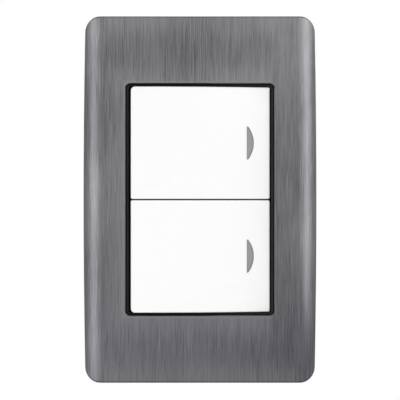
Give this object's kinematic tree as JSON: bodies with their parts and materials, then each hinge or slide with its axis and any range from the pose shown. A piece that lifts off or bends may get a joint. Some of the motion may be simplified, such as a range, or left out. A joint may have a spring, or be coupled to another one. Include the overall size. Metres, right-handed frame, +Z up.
{
  "type": "light switch",
  "caption": "Upright wall light switch with a brushed gunmetal face plate, black bezel and white rockers, each with a grey D-shaped indicator, that tip about a vertical axis.",
  "frame": {"origin": "centre of the plate on the wall plane, midway between the two box screws", "axes": "+Z up, -Y out of the wall towards the user, +Y into the wall, +X to the user's right"},
  "size_m": [0.0754, 0.028, 0.118],
  "materials": {
    "gunmetal_brushed": "brushed gunmetal metallic",
    "black_plastic": "satin",
    "white_gloss": "semi-gloss",
    "indicator_grey": "satin",
    "acetal": "natural",
    "spring_steel": "drawn wire",
    "brass": "plain",
    "contact_silver": "silver alloy",
    "screw_steel": "zinc plated",
    "housing_plastic": "satin"
  },
  "bodies": {
    "base": {"face_plate": "gunmetal_brushed", "mounting_frame": "black_plastic", "upper_fixed_contact": "contact_silver", "upper_load_strip": "brass", "upper_common_strip": "brass", "upper_load_terminal": "brass", "upper_common_terminal": "brass", "upper_load_screw": "screw_steel", "upper_common_screw": "screw_steel", "upper_cover": "black_plastic", "upper_housing": "housing_plastic", "lower_fixed_contact": "contact_silver", "lower_load_strip": "brass", "lower_common_strip": "brass", "lower_load_terminal": "brass", "lower_common_terminal": "brass", "lower_load_screw": "screw_steel", "lower_common_screw": "screw_steel", "lower_cover": "black_plastic", "lower_housing": "housing_plastic"},
    "upper_rocker_body": {"upper_rocker": "white_gloss", "upper_indicator": "indicator_grey", "upper_cradle": "acetal", "upper_spring": "spring_steel"},
    "upper_plunger_body": {"upper_plunger": "acetal"},
    "upper_blade_body": {"upper_contact_blade": "brass", "upper_moving_contact": "contact_silver"},
    "lower_rocker_body": {"lower_rocker": "white_gloss", "lower_indicator": "indicator_grey", "lower_cradle": "acetal", "lower_spring": "spring_steel"},
    "lower_plunger_body": {"lower_plunger": "acetal"},
    "lower_blade_body": {"lower_contact_blade": "brass", "lower_moving_contact": "contact_silver"}
  },
  "joints": [
    {"name": "upper_rocker_tilt", "type": "hinge", "parent": "base", "child": "upper_rocker_body", "pos_m": [0, -0.006, 0.01825], "axis": [0, 0, 1], "range_deg": [-10, 0]},
    {"name": "upper_plunger_slide", "type": "slide", "parent": "upper_rocker_body", "child": "upper_plunger_body", "axis": [0.0872, -0.9962, 0], "range_m": [0, 0.001], "stiffness_N_per_m": 400, "springref_m": -0.003, "deforming": ["upper_spring"]},
    {"name": "upper_blade_tilt", "type": "hinge", "parent": "base", "child": "upper_blade_body", "pos_m": [0, 0.012, 0.01825], "axis": [0, 0, 1], "range_deg": [0, 18]},
    {"name": "lower_rocker_tilt", "type": "hinge", "parent": "base", "child": "lower_rocker_body", "pos_m": [0, -0.006, -0.01825], "axis": [0, 0, 1], "range_deg": [-10, 0]},
    {"name": "lower_plunger_slide", "type": "slide", "parent": "lower_rocker_body", "child": "lower_plunger_body", "axis": [0.0872, -0.9962, 0], "range_m": [0, 0.001], "stiffness_N_per_m": 400, "springref_m": -0.003, "deforming": ["lower_spring"]},
    {"name": "lower_blade_tilt", "type": "hinge", "parent": "base", "child": "lower_blade_body", "pos_m": [0, 0.012, -0.01825], "axis": [0, 0, 1], "range_deg": [0, 18]}
  ],
  "couplings": [
    {"joint": "upper_blade_tilt", "follows": "upper_rocker_tilt", "ratio": -1.8},
    {"joint": "lower_blade_tilt", "follows": "lower_rocker_tilt", "ratio": -1.8}
  ]
}
